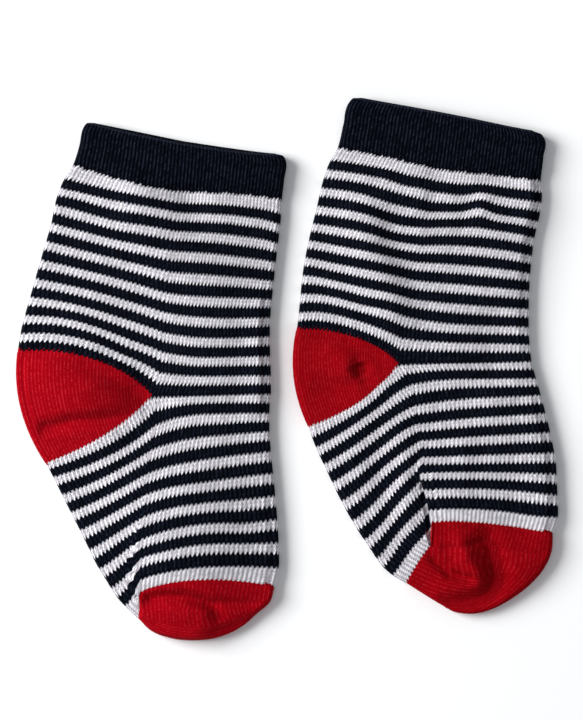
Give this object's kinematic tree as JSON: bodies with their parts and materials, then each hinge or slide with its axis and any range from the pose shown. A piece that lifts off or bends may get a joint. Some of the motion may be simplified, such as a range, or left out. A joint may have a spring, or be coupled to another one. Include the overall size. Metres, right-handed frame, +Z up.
{
  "type": "pair of baby socks",
  "caption": "Baby crew socks laid flat side by side: navy rib cuffs, navy and white striped legs and feet, red heels and toes.",
  "frame": {"origin": "centre of the pair's bounding box, on the surface that the socks lie on", "axes": "+Z up from that surface, +Y from the toes towards the cuffs, +X from the left sock to the right one as seen from above with the cuffs away from the viewer"},
  "size_m": [0.1548, 0.1556, 0.0066],
  "materials": {
    "navy_rib": "matte rib knit, near-black navy",
    "striped_jersey": "matte plain knit in even navy and white stripes; the colour given is the white",
    "red_jersey": "matte plain knit, deep red"
  },
  "bodies": {
    "root": {"sock_left_cuff": "navy_rib", "sock_left_body": "striped_jersey", "sock_left_heel": "red_jersey", "sock_left_toe": "red_jersey", "sock_right_cuff": "navy_rib", "sock_right_body": "striped_jersey", "sock_right_heel": "red_jersey", "sock_right_toe": "red_jersey"}
  },
  "joints": []
}
